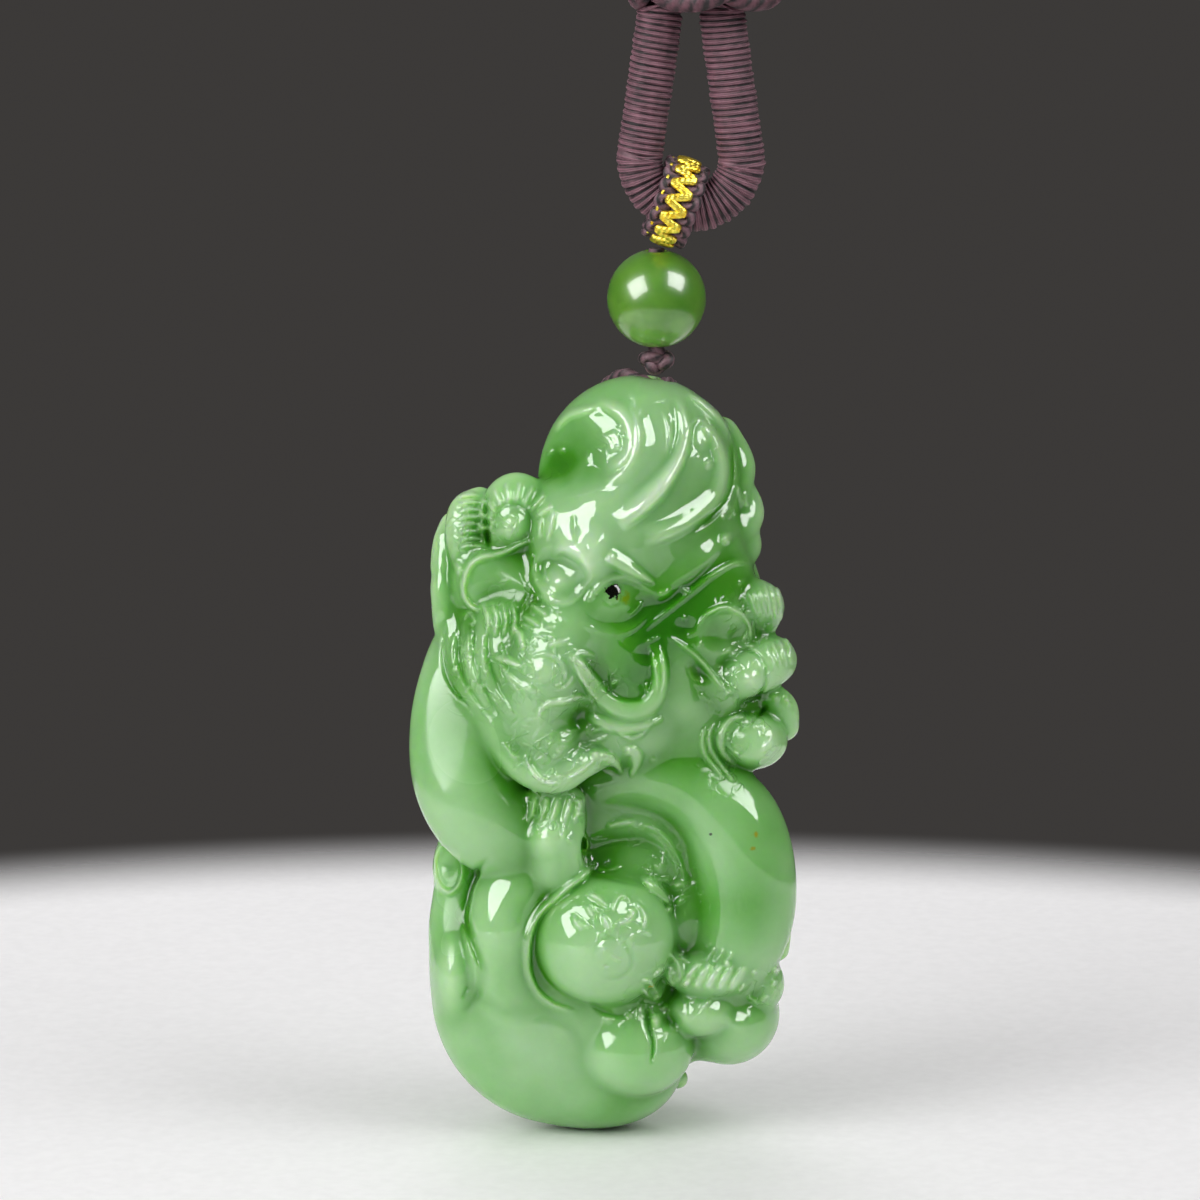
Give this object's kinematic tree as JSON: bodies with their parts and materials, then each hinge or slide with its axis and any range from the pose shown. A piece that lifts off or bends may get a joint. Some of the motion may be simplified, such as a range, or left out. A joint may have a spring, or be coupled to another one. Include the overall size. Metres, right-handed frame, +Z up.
{
  "type": "carved jade pendant on a neck cord",
  "caption": "Carved green jade dragon pendant under a round jade bead, on a knotted ring, a thread-wrapped loop and a braided neck cord.",
  "frame": {"origin": "inside of the neck cord at its top, where the back of the neck carries it", "axes": "+Z up, the carving's face looks along -Y, +X to the right as seen from the front"},
  "size_m": [0.126, 0.0213, 0.3709],
  "materials": {
    "cord": "fine braided cord with a faint sheen",
    "wrapped_thread": "close turns of fine thread with a faint sheen",
    "gold_thread": "bright metallic thread",
    "carving_jade": "polished translucent green jade",
    "bead_jade": "polished translucent green jade"
  },
  "bodies": {
    "neck_loop": {"neck_cord": "cord", "head_knot": "cord", "wrapped_loop": "wrapped_thread"},
    "pendant": {"bail_band": "cord", "gold_thread": "gold_thread", "jade_bead": "bead_jade", "bead_thread": "cord", "bead_knot": "cord", "carving_thread": "cord", "jade_carving": "carving_jade"}
  },
  "joints": [
    {"name": "pendant_swing", "type": "hinge", "parent": "neck_loop", "child": "pendant", "pos_m": [-0.0022, 0, -0.29222], "axis": [0.9455, 0, -0.3256], "range_deg": [-75, 75]}
  ]
}
